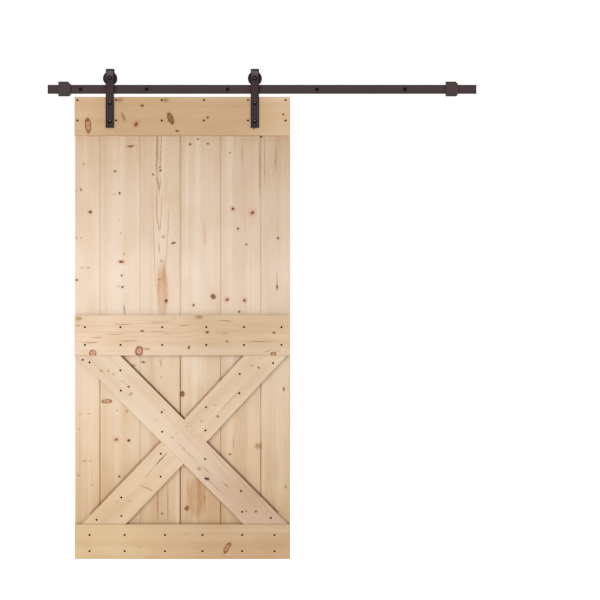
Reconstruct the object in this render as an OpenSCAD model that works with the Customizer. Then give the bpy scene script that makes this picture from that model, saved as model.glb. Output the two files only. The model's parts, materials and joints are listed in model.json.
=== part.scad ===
// Sliding barn door: a plank door with rails and a crossed brace, hung by two
// strap hangers whose grooved wheels roll along a flat bar track.
//
// Frame: +X runs along the track to the right, -Y points to the front and +Z up.
// The wall plane is y = 0. The origin is on it, on the axis of the middle lag bolt.
// Door places are u, from the door's left edge, and v, down from its top edge.

/* [Door panel] */
// Width of the door
door_w = 995; // [830:1:1200]
// Height of the door
door_h = 2134; // [1778:1:2560]
// Thickness of the planks
plank_t = 16; // [13:0.5:22]
// Thickness of the rails and braces
board_t = 19; // [15:0.5:26]
// Face width of the leftmost plank
first_plank_w = 115; // [90:1:150]
// Face width of the rightmost plank
last_plank_w = 136; // [110:1:170]
// How far a tongue stands out of its plank
tongue_l = 8; // [5:0.5:12]
// Thickness of a tongue
tongue_t = 5; // [4:0.25:6]
// Clearance of a tongue in its groove, on each face and at its tip
tongue_gap = 0.3; // [0.1:0.05:0.8]
// Leg of the bevel along each side of a plank joint
seam_bevel = 2.5; // [1:0.25:3.5]
// Leg of the bevel along the front edges of a rail or brace
edge_ease = 1.2; // [0.5:0.1:2.5]

/* [Rails and braces] */
// Height of the top rail
top_rail_h = 178; // [148:1:215]
// Height of the middle rail
mid_rail_h = 186; // [150:1:224]
// Height of the bottom rail
bottom_rail_h = 160; // [133:1:200]
// Height of the field between the middle and the bottom rail
field_h = 780; // [650:1:800]
// Width of the braces
brace_w = 145; // [120:1:160]
// Centre of the long brace at the middle rail, in from the left edge
long_top_in = 108; // [90:1:130]
// Centre of the long brace at the bottom rail, in from the right edge
long_bottom_in = 112; // [90:1:130]
// Centre of the upper half brace at the middle rail, in from the right edge
cross_top_in = 114; // [90:1:130]
// Where the upper half brace aims at the bottom rail, in from the left edge
upper_aim_in = 154; // [110:1:170]
// Centre of the lower half brace at the bottom rail, in from the left edge
cross_bottom_in = 134; // [90:1:150]

/* [Wood screws] */
// Radius of a wood screw's shank
screw_r = 2; // [1.5:0.1:2.5]
// Radius of its countersunk head
screw_head_r = 4.8; // [4:0.1:5.8]
// Depth of the head's top below the wood's face
screw_sink = 0.4; // [0.2:0.1:1]
// Wood left between a screw's tip and the door's back
screw_back = 3; // [2:0.5:5]
// Upper row of the top rail's screws, down from the rail's top edge
top_row_1 = 15; // [12:1:30]
// Lower row of the top rail's screws
top_row_2 = 109; // [80:1:130]
// Upper row of the middle rail's screws
mid_row_1 = 55; // [20:1:70]
// Lower row of the middle rail's screws
mid_row_2 = 137; // [110:1:140]
// Upper row of the bottom rail's screws
bottom_row_1 = 48; // [20:1:60]
// Lower row of the bottom rail's screws
bottom_row_2 = 123; // [95:1:125]

/* [Track] */
// Length of the track
track_l = 1981; // [1650:1:2400]
// Height of the track's section
track_h = 41; // [35:0.5:50]
// Thickness of the track
track_t = 6; // [5:0.25:8]
// Length of the spacers that hold the track off the wall
spacer_l = 35; // [31:0.5:45]
// Radius of a spacer
spacer_r = 11; // [9:0.5:15]
// First lag bolt, in from the track's left end
first_bolt_in = 152; // [125:1:190]
// Last lag bolt, in from the track's right end
last_bolt_in = 330; // [200:1:400]
// Radius of a lag bolt's shank
lag_r = 4; // [3:0.25:5]
// How far a lag bolt's full thread reaches into the wall
lag_grip = 45; // [35:1:70]
// Width across the flats of a lag bolt's head
lag_flats = 13; // [11:1:16]
// Play of the lag bolts in the track, washers and spacers
lag_gap = 0.5; // [0.2:0.1:1]

/* [End stops] */
// Width of an end stop along the track
stop_w = 56.5; // [45:0.5:70]
// Height of an end stop above the track
stop_above = 14.2; // [10:0.2:17]
// Depth of an end stop below the track
stop_below = 10.9; // [8:0.1:12]
// Left end stop, in from the track's left end
left_stop_in = 50; // [20:1:70]
// Right end stop, in from the track's right end
right_stop_in = 85; // [20:1:110]
// Leg of the bevel at an end stop's upper right corner
stop_bevel_top = 11.5; // [5:0.5:12]
// Width of the bevel at its lower right corner
stop_bevel_low = 6.5; // [3:0.5:10]
// Play of the track in an end stop
stop_gap = 0.2; // [0.1:0.05:0.5]
// Radius of an end stop's set screws
set_screw_r = 3; // [2.5:0.25:4]

/* [Hangers] */
// Hanger's centre, in from the door's edge
hanger_in = 163; // [140:1:190]
// Width of a hanger strap
strap_w = 38; // [32:0.5:50]
// Thickness of a hanger strap
strap_t = 5; // [4:0.25:7]
// How far a strap's front leg reaches down the door
strap_drop = 143; // [138:1:145]
// How far a strap's back leg reaches below the axle
strap_back_drop = 25; // [20:1:29]
// Gap between the wheel's top and the inside of the strap's bend
crown_gap = 7.5; // [6:0.5:12]
// Gap between the door's top edge and the track
door_drop = 15.5; // [13:0.5:25]
// Upper hanger bolt, down from the door's top edge
hanger_bolt_1 = 30; // [25:1:45]
// Lower hanger bolt, down from the door's top edge
hanger_bolt_2 = 115; // [90:1:120]
// Radius of a hanger bolt
hanger_bolt_r = 5; // [4:0.25:6]
// Play of a hanger bolt in the strap and the door
hanger_bolt_gap = 0.25; // [0.1:0.05:0.5]
// Radius of the large washer behind the door
back_washer_r = 14; // [12:0.5:18]
// Width across the flats of a hanger bolt's nut
hanger_nut_flats = 17; // [15:1:19]

/* [Wheels] */
// Radius of a wheel over its flanges
wheel_r = 32.5; // [29:0.5:40]
// Depth of the groove that runs on the track
groove_d = 3; // [2:0.25:5]
// Width of a wheel
wheel_w = 22; // [19:0.5:28]
// Side play of the track in the groove
groove_gap = 0.6; // [0.4:0.1:1]
// Gap between a wheel and each leg of its strap
wheel_side_gap = 2.5; // [2:0.25:4]
// Running gap between a wheel's groove and the track's top
roll_gap = 0.02; // [0.01:0.01:0.1]
// Radius of the axle bolt
axle_r = 6; // [5:0.25:6.5]
// Width of the ball bearing
bearing_w = 10; // [9:0.5:12]
// Radius of a bearing ball
ball_r = 2.75; // [2.5:0.05:2.9]
// Running gap of the balls in their races and in the cage
ball_gap = 0.05; // [0.02:0.01:0.1]

/* [Rest place] */
// Door's left edge, in from the track's left end
door_in = 125.6; // [110:0.1:600]

/* [Hidden] */

$fn = 64;

PINE = "#dcc09a";
BRONZE = "#4e3e41";
BLACK = "#1c1718";
STEEL = "#b4b4b2";
CAGE = "#b08d4f";

// Amount by which a cutter runs past the face it cuts
past = 1;
// Play of a wood screw in its hole, and of a bolt in its nut
screw_gap = 0.05;
nut_gap = 0.02;

// Places across the wall gap: the track, the strap's legs and the door
track_y = -spacer_l - track_t / 2;
leg_gap = wheel_w + 2 * wheel_side_gap;
front_leg_y = track_y - leg_gap / 2;
back_leg_y = track_y + leg_gap / 2;
board_back_y = front_leg_y + board_t;
door_back_y = board_back_y + plank_t;

// Lag bolts, as shares of the way from the first to the last
BOLT_SHARES = [0, 0.2035, 0.453, 0.7285, 1];
MIDDLE_BOLT = 2;
bolt_span = track_l - first_bolt_in - last_bolt_in;
function bolt_at(i) = first_bolt_in + BOLT_SHARES[i] * bolt_span;
track_left = -bolt_at(MIDDLE_BOLT);
track_right = track_left + track_l;

// Wheels and hangers
roll_r = wheel_r - groove_d;
axle_z = track_h / 2 + roll_r + roll_gap;
bend_r = leg_gap / 2;
bend_z = axle_z + wheel_r + crown_gap - bend_r;

// Door
door_left = track_left + door_in;
door_top = -track_h / 2 - door_drop;
PLANK_COUNT = 6;
plank_w = (door_w - first_plank_w - last_plank_w) / (PLANK_COUNT - 2);
function plank_u(i) = i == 0 ? 0 : i == PLANK_COUNT ? door_w : first_plank_w + (i - 1) * plank_w;
function plank_mid(i) = (plank_u(i) + plank_u(i + 1)) / 2;
function plank_half(i) = (plank_u(i + 1) - plank_u(i)) / 2;
field_bottom = door_h - bottom_rail_h;
field_top = field_bottom - field_h;
mid_rail_top = field_top - mid_rail_h;
left_hanger_u = hanger_in;
right_hanger_u = door_w - hanger_in;

// A brace's centreline: its u at the field's top and at the field's bottom
LONG_LINE = [long_top_in, door_w - long_bottom_in];
UPPER_LINE = [door_w - cross_top_in, upper_aim_in];
LOWER_LINE = [door_w - cross_top_in, cross_bottom_in];
function line_angle(line) = atan2(-field_h, line[1] - line[0]);
function line_v(line, u) = field_top + field_h * (u - line[0]) / (line[1] - line[0]);
function line_half(line) = brace_w / 2 / abs(cos(line_angle(line)));

// Wood screws. On a rail: one share of the half plank's width for each plank.
TOP_SHARES = [-0.77, -0.17, 0.09, 0.18, 0.37, 0.69];
MID_SHARES = [-0.17, 0.04, 0.11, 0.30, 0.17, 0.41];
BOTTOM_SHARES = [0.20, 0.25, 0.25, 0.11, 0.08, -0.06];
// On a brace: [plank, share of its half width, share of the brace's half height].
LONG_SHARES = [
    [0, -0.34, 0.88], [0, 0.20, 0.69],
    [1, 0.04, -0.35], [1, 0.06, 0.54],
    [2, 0.09, -0.34], [2, 0.11, 0.52],
    [3, 0.24, -0.19], [3, 0.27, 0.65],
    [4, 0.02, -0.38], [4, 0.08, 0.50],
    [5, -0.31, -0.52],
];
UPPER_SHARES = [
    [5, -0.15, 0.69],
    [4, -0.04, -0.40], [4, -0.06, 0.42],
    [3, 0.29, -0.52], [3, 0.26, 0.46],
];
LOWER_SHARES = [
    [2, 0.04, -0.49], [2, 0.03, 0.51],
    [1, 0.08, -0.38], [1, 0.09, 0.44],
    [0, 0.77, -0.53],
];
function share_u(plank, share) = plank_mid(plank) + share * plank_half(plank);
function rail_places(shares, rows) = [
    for (i = [0 : PLANK_COUNT - 1], v = rows) [share_u(i, shares[i]), v]
];
function brace_places(shares, line) = [
    for (s = shares)
        let (u = share_u(s[0], s[1]))
        [u, line_v(line, u) + s[2] * line_half(line)]
];
TOP_PLACES = rail_places(TOP_SHARES, [top_row_1, top_row_2]);
MID_PLACES = rail_places(MID_SHARES, [mid_rail_top + mid_row_1, mid_rail_top + mid_row_2]);
BOTTOM_PLACES = rail_places(BOTTOM_SHARES, [field_bottom + bottom_row_1, field_bottom + bottom_row_2]);
LONG_PLACES = brace_places(LONG_SHARES, LONG_LINE);
UPPER_PLACES = brace_places(UPPER_SHARES, UPPER_LINE);
LOWER_PLACES = brace_places(LOWER_SHARES, LOWER_LINE);
ALL_PLACES = concat(TOP_PLACES, MID_PLACES, BOTTOM_PLACES, LONG_PLACES, UPPER_PLACES, LOWER_PLACES);
HANGER_PLACES = [
    for (u = [left_hanger_u, right_hanger_u], v = [hanger_bolt_1, hanger_bolt_2]) [u, v]
];
screw_l = board_t + plank_t - screw_back;
screw_head_h = screw_head_r - screw_r;
screw_tip_l = 6;
screw_tip_r = 0.3;

// Fasteners
washer_t = 1.6;
washer_rim = 4.5;
lag_head_h = 5.3;
lag_head_ease = 0.2;
lag_tip_l = 9;
lag_tip_r = 0.4;
lag_neck_l = 3;
lag_neck_r = lag_r - 0.6;
hex_corner = 1 / cos(30);
back_washer_t = 2;
hanger_nut_h = 8;
bolt_end = 2;
button_h = 5.5;
button_r = 1.75 * hanger_bolt_r;
socket_flats = 1.2 * hanger_bolt_r;
socket_d = 3.2;
axle_head_r = 10.5;
axle_head_h = 5.5;
axle_socket_flats = 8;
axle_nut_flats = 19;
axle_nut_h = 7;
set_screw_in = 14;
set_screw_recess = 1;
stop_bevel_clear = 0.4;
set_socket_flats = 3;
set_socket_d = 4;

// Bearing, from the axle outwards
ring_t = 3;
race_gap = 4;
inner_ring_r = axle_r + ring_t;
outer_ring_r = inner_ring_r + race_gap;
bearing_r = outer_ring_r + ring_t;
ball_pitch_r = inner_ring_r + race_gap / 2;
BALL_COUNT = 8;
shield_t = 0.6;
shield_in = 0.3;
cage_t = 1.6;
cage_half_w = 3.5;

// Wheel's turned side faces
wheel_edge = 1;
rim_t = 4.5;
hub_wall = 3;
web_recess = 2;
seat_lip = 2.5;

// ---------------------------------------------------------------- placing

// A place on the door at u and v, at a given depth from the wall
module on_door(place, y) {
    translate([door_left + place[0], y, door_top - place[1]])
        children();
}

// Turns +Z to point into the door and the wall
module inwards() {
    rotate([-90, 0, 0])
        children();
}

// Turns a shape drawn flat, with X right and Y up, to face the front
module facing_front() {
    rotate([90, 0, 0])
        children();
}

module hex_bar(flats, h) {
    cylinder(h = h, r = flats / 2 * hex_corner, $fn = 6);
}

module ring(r_out, r_in, h) {
    difference() {
        cylinder(h = h, r = r_out);
        translate([0, 0, -past])
            cylinder(h = h + 2 * past, r = r_in);
    }
}

// ---------------------------------------------------------------- wood screws

// A screw's shape from its head's top at z = 0; gap widens it to its hole
module screw_form(gap) {
    translate([0, 0, screw_sink])
        cylinder(h = screw_head_h, r1 = screw_head_r + gap, r2 = screw_r + gap);
    translate([0, 0, screw_sink + screw_head_h / 2])
        cylinder(h = screw_l - screw_tip_l - screw_sink - screw_head_h / 2, r = screw_r + gap);
    translate([0, 0, screw_l - screw_tip_l])
        cylinder(h = screw_tip_l + gap, r1 = screw_r + gap, r2 = screw_tip_r + gap);
}

module screw_hole() {
    screw_form(screw_gap);
    translate([0, 0, -past])
        cylinder(h = past + screw_sink, r = screw_head_r + screw_gap);
}

module wood_screw() {
    cross_l = 5.2;
    cross_w = 1.1;
    cross_d = 1.6;
    difference() {
        screw_form(0);
        for (turn = [0, 90])
            rotate([0, 0, turn])
                translate([-cross_l / 2, -cross_w / 2, screw_sink - past])
                    cube([cross_l, cross_w, cross_d + past]);
    }
}

module wood_screws(places) {
    color(BLACK)
        for (p = places)
            on_door(p, front_leg_y)
                inwards()
                    wood_screw();
}

module screw_holes(places) {
    for (p = places)
        on_door(p, front_leg_y)
            inwards()
                screw_hole();
}

module hanger_bolt_holes(places) {
    for (p = places)
        on_door(p, front_leg_y - past)
            inwards()
                cylinder(h = board_t + plank_t + 2 * past, r = hanger_bolt_r + hanger_bolt_gap);
}

// ---------------------------------------------------------------- planks

// Right side of plank i, from its front face to its back: a tongue or a plain edge
function right_side(i) =
    let (u = plank_u(i + 1), low = (plank_t - tongue_t) / 2, high = (plank_t + tongue_t) / 2)
    i == PLANK_COUNT - 1
        ? [[u, 0], [u, plank_t]]
        : [
            [u - seam_bevel, 0], [u, seam_bevel],
            [u, low], [u + tongue_l, low], [u + tongue_l, high], [u, high],
            [u, plank_t - seam_bevel], [u - seam_bevel, plank_t],
        ];

// Left side of plank i, from its back face to its front: a groove or a plain edge
function left_side(i) =
    let (
        u = plank_u(i),
        depth = tongue_l + tongue_gap,
        low = (plank_t - tongue_t) / 2 - tongue_gap,
        high = (plank_t + tongue_t) / 2 + tongue_gap
    )
    i == 0
        ? [[u, plank_t], [u, 0]]
        : [
            [u + seam_bevel, plank_t], [u, plank_t - seam_bevel],
            [u, high], [u + depth, high], [u + depth, low], [u, low],
            [u, seam_bevel], [u + seam_bevel, 0],
        ];

module plank(i) {
    own_screws = [for (p = ALL_PLACES) if (p[0] > plank_u(i) && p[0] < plank_u(i + 1)) p];
    own_bolts = [for (p = HANGER_PLACES) if (abs(p[0] - plank_mid(i)) < plank_half(i) + 2 * hanger_bolt_r) p];
    color(PINE)
        difference() {
            translate([door_left, board_back_y, door_top - door_h])
                linear_extrude(height = door_h)
                    polygon(concat(right_side(i), left_side(i)));
            screw_holes(own_screws);
            hanger_bolt_holes(own_bolts);
        }
}

// ---------------------------------------------------------------- rails and braces

// A board along +X from the origin, centred on it, its back at z = 0, its long front edges eased
module board(l, w) {
    ease = edge_ease * sqrt(2);
    difference() {
        translate([0, -w / 2, 0])
            cube([l, w, board_t]);
        for (side = [-1, 1])
            translate([l / 2, side * w / 2, board_t])
                rotate([45, 0, 0])
                    cube([l + 2 * past, ease, ease], center = true);
    }
}

module rail(v_top, h, places) {
    color(PINE)
        difference() {
            on_door([0, v_top + h / 2], board_back_y)
                facing_front()
                    board(door_w, h);
            screw_holes(places);
            hanger_bolt_holes(v_top == 0 ? HANGER_PLACES : []);
        }
}

// A board along a brace's centreline, longer than the field at both ends
module brace_strip(line, w) {
    run = door_w + field_h;
    on_door([line[0], field_top], board_back_y)
        facing_front()
            rotate([0, 0, line_angle(line)])
                translate([-run / 2, 0, 0])
                    board(2 * run, w);
}

// The field between the rails, as a block that holds the braces
module field_block() {
    on_door([0, field_bottom], board_back_y + past)
        facing_front()
            cube([door_w, field_h, board_t + 2 * past]);
}

// All that lies on one side of the long brace's edge: side 1 above it, -1 below it
module beside_long(side) {
    run = door_w + field_h;
    on_door([LONG_LINE[0], field_top], board_back_y + past)
        facing_front()
            rotate([0, 0, line_angle(LONG_LINE)])
                translate([-run / 2, side > 0 ? brace_w / 2 : -brace_w / 2 - run, 0])
                    cube([2 * run, run, board_t + 2 * past]);
}

module brace(line, places, side) {
    color(PINE)
        difference() {
            intersection() {
                brace_strip(line, brace_w);
                field_block();
                if (side != 0)
                    beside_long(side);
            }
            screw_holes(places);
        }
}

// ---------------------------------------------------------------- track

module track_bar() {
    color(BRONZE)
        difference() {
            translate([track_left, track_y - track_t / 2, -track_h / 2])
                cube([track_l, track_t, track_h]);
            at_bolts(track_y - track_t / 2 - past)
                cylinder(h = track_t + 2 * past, r = lag_r + lag_gap);
        }
}

// Children point into the wall, at each lag bolt
module at_bolts(y) {
    for (i = [0 : len(BOLT_SHARES) - 1])
        translate([track_left + bolt_at(i), y, 0])
            inwards()
                children();
}

module track_spacers() {
    color(BRONZE)
        at_bolts(-spacer_l)
            ring(spacer_r, lag_r + lag_gap, spacer_l);
}

module lag_washers() {
    color(BRONZE)
        at_bolts(-spacer_l - track_t - washer_t)
            ring(lag_r + washer_rim, lag_r + lag_gap, washer_t);
}

module lag_bolts() {
    through = washer_t + track_t + spacer_l;
    tip = through + lag_grip;
    hex_r = lag_flats / 2 - lag_head_ease;
    color(BLACK)
        at_bolts(-spacer_l - track_t - washer_t) {
            translate([0, 0, -lag_head_h])
                intersection() {
                    hex_bar(lag_flats, lag_head_h);
                    cylinder(h = 2 * lag_head_h, r1 = hex_r, r2 = hex_r + 2 * lag_head_h);
                }
            cylinder(h = through, r = lag_r);
            translate([0, 0, through - past])
                cylinder(h = lag_neck_l + 2 * past, r = lag_neck_r);
            translate([0, 0, through + lag_neck_l])
                cylinder(h = lag_grip - lag_neck_l, r = lag_r);
            translate([0, 0, tip])
                cylinder(h = lag_tip_l, r1 = lag_r, r2 = lag_tip_r);
        }
}

// ---------------------------------------------------------------- end stops

module end_stop(left) {
    high = track_h / 2 + stop_above;
    low = -track_h / 2 - stop_below;
    bevel_h = stop_below - stop_bevel_clear;
    color(BRONZE)
        difference() {
            translate([left, track_y + wheel_w / 2, 0])
                facing_front()
                    linear_extrude(height = wheel_w)
                        polygon([
                            [0, low], [stop_w - stop_bevel_low, low], [stop_w, low + bevel_h],
                            [stop_w, high - stop_bevel_top], [stop_w - stop_bevel_top, high], [0, high],
                        ]);
            translate([left - past, track_y - track_t / 2 - stop_gap, -track_h / 2 - 2 * stop_gap])
                cube([stop_w + 2 * past, track_t + 2 * stop_gap, track_h + 2 * stop_gap]);
            at_set_screws(left, low - past)
                cylinder(h = stop_below + past, r = set_screw_r + nut_gap);
        }
}

module at_set_screws(left, z) {
    for (side = [-1, 1])
        translate([left + stop_w / 2 - stop_bevel_low / 2 + side * set_screw_in, track_y, z])
            children();
}

module end_stop_set_screws() {
    screw_h = stop_below - set_screw_recess;
    color(BLACK)
        for (left = [left_stop_x, right_stop_x])
            at_set_screws(left, -track_h / 2 - screw_h)
                difference() {
                    cylinder(h = screw_h, r = set_screw_r);
                    translate([0, 0, -past])
                        hex_bar(set_socket_flats, set_socket_d + past);
                }
}

left_stop_x = track_left + left_stop_in;
right_stop_x = track_right - right_stop_in - stop_w;

// ---------------------------------------------------------------- hangers

module hanger_strap(u) {
    foot = door_top - strap_drop;
    back_foot = axle_z - strap_back_drop;
    outer_r = bend_r + strap_t;
    color(BRONZE)
        difference() {
            translate([door_left + u - strap_w / 2, 0, 0]) {
                translate([0, front_leg_y - strap_t, foot])
                    cube([strap_w, strap_t, bend_z - foot]);
                translate([0, back_leg_y, back_foot])
                    cube([strap_w, strap_t, bend_z - back_foot]);
                intersection() {
                    translate([0, track_y, bend_z])
                        rotate([0, 90, 0])
                            ring(outer_r, bend_r, strap_w);
                    translate([-past, track_y - 2 * outer_r, bend_z])
                        cube([strap_w + 2 * past, 4 * outer_r, 2 * outer_r]);
                }
            }
            for (v = [hanger_bolt_1, hanger_bolt_2])
                on_door([u, v], front_leg_y - strap_t - past)
                    inwards()
                        cylinder(h = strap_t + 2 * past, r = hanger_bolt_r + hanger_bolt_gap);
            on_axle(u, front_leg_y - strap_t - past)
                cylinder(h = leg_gap + 2 * strap_t + 2 * past, r = axle_r + nut_gap);
        }
}

// Children point to the wall along the axle of the hanger at u
module on_axle(u, y) {
    translate([door_left + u, y, axle_z])
        inwards()
            children();
}

// A button head, its flat side at z = 0 and its dome towards -Z, with a hex socket
module button_head(r, h, flats) {
    dome_r = (r * r + h * h) / (2 * h);
    difference() {
        intersection() {
            translate([0, 0, dome_r - h])
                sphere(r = dome_r);
            translate([0, 0, -h])
                cylinder(h = h, r = r);
        }
        translate([0, 0, -h - past])
            hex_bar(flats, socket_d + past);
    }
}

module hanger_bolts(u) {
    length = strap_t + board_t + plank_t + back_washer_t + hanger_nut_h + bolt_end;
    color(BLACK)
        for (v = [hanger_bolt_1, hanger_bolt_2])
            on_door([u, v], front_leg_y - strap_t)
                inwards() {
                    button_head(button_r, button_h, socket_flats);
                    cylinder(h = length, r = hanger_bolt_r);
                }
}

module hanger_washers(u) {
    color(BLACK)
        for (v = [hanger_bolt_1, hanger_bolt_2])
            on_door([u, v], door_back_y)
                inwards()
                    ring(back_washer_r, hanger_bolt_r + hanger_bolt_gap, back_washer_t);
}

module nut(flats, h, r) {
    difference() {
        hex_bar(flats, h);
        translate([0, 0, -past])
            cylinder(h = h + 2 * past, r = r + nut_gap);
    }
}

module hanger_nuts(u) {
    color(BLACK)
        for (v = [hanger_bolt_1, hanger_bolt_2])
            on_door([u, v], door_back_y + back_washer_t)
                inwards()
                    nut(hanger_nut_flats, hanger_nut_h, hanger_bolt_r);
}

// ---------------------------------------------------------------- axle, wheel and bearing

module axle_bolt(u) {
    color(BLACK)
        on_axle(u, front_leg_y - strap_t) {
            button_head(axle_head_r, axle_head_h, axle_socket_flats);
            cylinder(h = leg_gap + 2 * strap_t + axle_nut_h + bolt_end, r = axle_r);
        }
}

module axle_nut(u) {
    color(BLACK)
        on_axle(u, back_leg_y + strap_t)
            nut(axle_nut_flats, axle_nut_h, axle_r);
}

module axle_bushes(u) {
    bush_l = (leg_gap - bearing_w) / 2;
    color(STEEL)
        for (y = [front_leg_y, back_leg_y - bush_l])
            on_axle(u, y)
                ring(inner_ring_r, axle_r + nut_gap, bush_l);
}

module wheel(u) {
    half = wheel_w / 2;
    groove_floor = track_t / 2 + groove_gap;
    groove_mouth = groove_floor + groove_d / 2;
    rim_in = wheel_r - rim_t;
    hub_r = bearing_r + hub_wall;
    color(BRONZE)
        on_axle(u, track_y)
            rotate_extrude()
                polygon([
                    [bearing_r, -half], [hub_r, -half], [hub_r + web_recess / 2, web_recess - half],
                    [rim_in - web_recess / 2, web_recess - half], [rim_in, -half],
                    [wheel_r - wheel_edge, -half], [wheel_r, wheel_edge - half],
                    [wheel_r, -groove_mouth], [roll_r, -groove_floor],
                    [roll_r, groove_floor], [wheel_r, groove_mouth],
                    [wheel_r, half - wheel_edge], [wheel_r - wheel_edge, half],
                    [rim_in, half], [rim_in - web_recess / 2, half - web_recess],
                    [hub_r + web_recess / 2, half - web_recess], [hub_r, half],
                    [bearing_r - seat_lip, half], [bearing_r - seat_lip, bearing_w / 2],
                    [bearing_r, bearing_w / 2],
                ]);
}

module race_groove() {
    rotate_extrude()
        translate([ball_pitch_r, 0])
            circle(r = ball_r + ball_gap);
}

module bearing_inner(u) {
    color(STEEL)
        on_axle(u, track_y)
            difference() {
                translate([0, 0, -bearing_w / 2])
                    ring(inner_ring_r, axle_r + nut_gap, bearing_w);
                race_groove();
            }
}

module bearing_outer(u) {
    color(STEEL)
        on_axle(u, track_y)
            difference() {
                translate([0, 0, -bearing_w / 2])
                    ring(bearing_r, outer_ring_r, bearing_w);
                race_groove();
            }
}

module at_balls() {
    for (i = [0 : BALL_COUNT - 1])
        rotate([0, 0, i * 360 / BALL_COUNT])
            translate([ball_pitch_r, 0, 0])
                children();
}

module bearing_balls(u) {
    color(STEEL)
        on_axle(u, track_y)
            at_balls()
                sphere(r = ball_r);
}

module bearing_cage(u) {
    color(CAGE)
        on_axle(u, track_y)
            difference() {
                translate([0, 0, -cage_half_w])
                    ring(ball_pitch_r + cage_t / 2, ball_pitch_r - cage_t / 2, 2 * cage_half_w);
                at_balls()
                    rotate([0, 90, 0])
                        cylinder(h = 3 * cage_t, r = ball_r + ball_gap, center = true);
            }
}

module bearing_shields(u) {
    color(STEEL)
        for (z = [-bearing_w / 2 + shield_in, bearing_w / 2 - shield_in - shield_t])
            on_axle(u, track_y)
                translate([0, 0, z])
                    ring(outer_ring_r, inner_ring_r + shield_in, shield_t);
}

// ---------------------------------------------------------------- nodes

plank(0);  // plank_1
plank(1);  // plank_2
plank(2);  // plank_3
plank(3);  // plank_4
plank(4);  // plank_5
plank(5);  // plank_6
rail(0, top_rail_h, TOP_PLACES);  // top_rail
rail(mid_rail_top, mid_rail_h, MID_PLACES);  // mid_rail
rail(field_bottom, bottom_rail_h, BOTTOM_PLACES);  // bottom_rail
brace(LONG_LINE, LONG_PLACES, 0);  // brace_long
brace(UPPER_LINE, UPPER_PLACES, 1);  // brace_upper
brace(LOWER_LINE, LOWER_PLACES, -1);  // brace_lower
wood_screws(TOP_PLACES);  // top_rail_screws
wood_screws(MID_PLACES);  // mid_rail_screws
wood_screws(BOTTOM_PLACES);  // bottom_rail_screws
wood_screws(LONG_PLACES);  // brace_long_screws
wood_screws(UPPER_PLACES);  // brace_upper_screws
wood_screws(LOWER_PLACES);  // brace_lower_screws
track_bar();
track_spacers();
lag_bolts();
lag_washers();
end_stop(left_stop_x);  // end_stop_left
end_stop(right_stop_x);  // end_stop_right
end_stop_set_screws();
hanger_strap(left_hanger_u);  // hanger_strap_left
hanger_bolts(left_hanger_u);  // hanger_bolts_left
hanger_washers(left_hanger_u);  // hanger_washers_left
hanger_nuts(left_hanger_u);  // hanger_nuts_left
axle_bolt(left_hanger_u);  // axle_bolt_left
axle_nut(left_hanger_u);  // axle_nut_left
axle_bushes(left_hanger_u);  // axle_bushes_left
wheel(left_hanger_u);  // wheel_left
bearing_inner(left_hanger_u);  // bearing_inner_left
bearing_outer(left_hanger_u);  // bearing_outer_left
bearing_balls(left_hanger_u);  // bearing_balls_left
bearing_cage(left_hanger_u);  // bearing_cage_left
bearing_shields(left_hanger_u);  // bearing_shields_left
hanger_strap(right_hanger_u);  // hanger_strap_right
hanger_bolts(right_hanger_u);  // hanger_bolts_right
hanger_washers(right_hanger_u);  // hanger_washers_right
hanger_nuts(right_hanger_u);  // hanger_nuts_right
axle_bolt(right_hanger_u);  // axle_bolt_right
axle_nut(right_hanger_u);  // axle_nut_right
axle_bushes(right_hanger_u);  // axle_bushes_right
wheel(right_hanger_u);  // wheel_right
bearing_inner(right_hanger_u);  // bearing_inner_right
bearing_outer(right_hanger_u);  // bearing_outer_right
bearing_balls(right_hanger_u);  // bearing_balls_right
bearing_cage(right_hanger_u);  // bearing_cage_right
bearing_shields(right_hanger_u);  // bearing_shields_right
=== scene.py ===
"""Looks of a sliding plank door: knotty pine, bronze hardware and a pale studio."""

import json
import logging
import math
from dataclasses import dataclass, field
from enum import Enum

import bmesh
import bpy
from mathutils import Matrix, Vector


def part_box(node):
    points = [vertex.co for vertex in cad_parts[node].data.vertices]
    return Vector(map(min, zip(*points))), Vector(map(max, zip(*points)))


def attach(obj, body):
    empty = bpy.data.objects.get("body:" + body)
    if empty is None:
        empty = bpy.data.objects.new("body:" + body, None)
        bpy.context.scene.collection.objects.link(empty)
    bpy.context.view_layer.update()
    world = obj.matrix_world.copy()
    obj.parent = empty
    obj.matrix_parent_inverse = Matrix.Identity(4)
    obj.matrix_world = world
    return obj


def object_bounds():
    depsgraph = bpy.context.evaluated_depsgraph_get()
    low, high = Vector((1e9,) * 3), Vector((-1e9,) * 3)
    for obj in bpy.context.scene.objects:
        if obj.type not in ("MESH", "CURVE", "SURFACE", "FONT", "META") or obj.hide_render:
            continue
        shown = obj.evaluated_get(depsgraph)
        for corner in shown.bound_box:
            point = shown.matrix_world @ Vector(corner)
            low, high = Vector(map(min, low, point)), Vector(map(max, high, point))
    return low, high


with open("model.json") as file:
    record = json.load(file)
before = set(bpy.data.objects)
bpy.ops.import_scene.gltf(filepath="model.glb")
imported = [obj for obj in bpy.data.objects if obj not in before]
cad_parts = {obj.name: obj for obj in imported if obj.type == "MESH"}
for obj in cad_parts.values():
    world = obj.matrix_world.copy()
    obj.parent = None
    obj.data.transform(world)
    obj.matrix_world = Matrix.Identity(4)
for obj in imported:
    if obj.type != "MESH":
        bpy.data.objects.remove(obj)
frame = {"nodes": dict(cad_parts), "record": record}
CAD_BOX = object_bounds()

LOG = logging.getLogger("plank_door")

MM = 0.001
# How much brighter than its own colour a front-facing surface shows under the studio light
STAGE_GAIN = 1.41

Colour = tuple[float, float, float]


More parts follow.
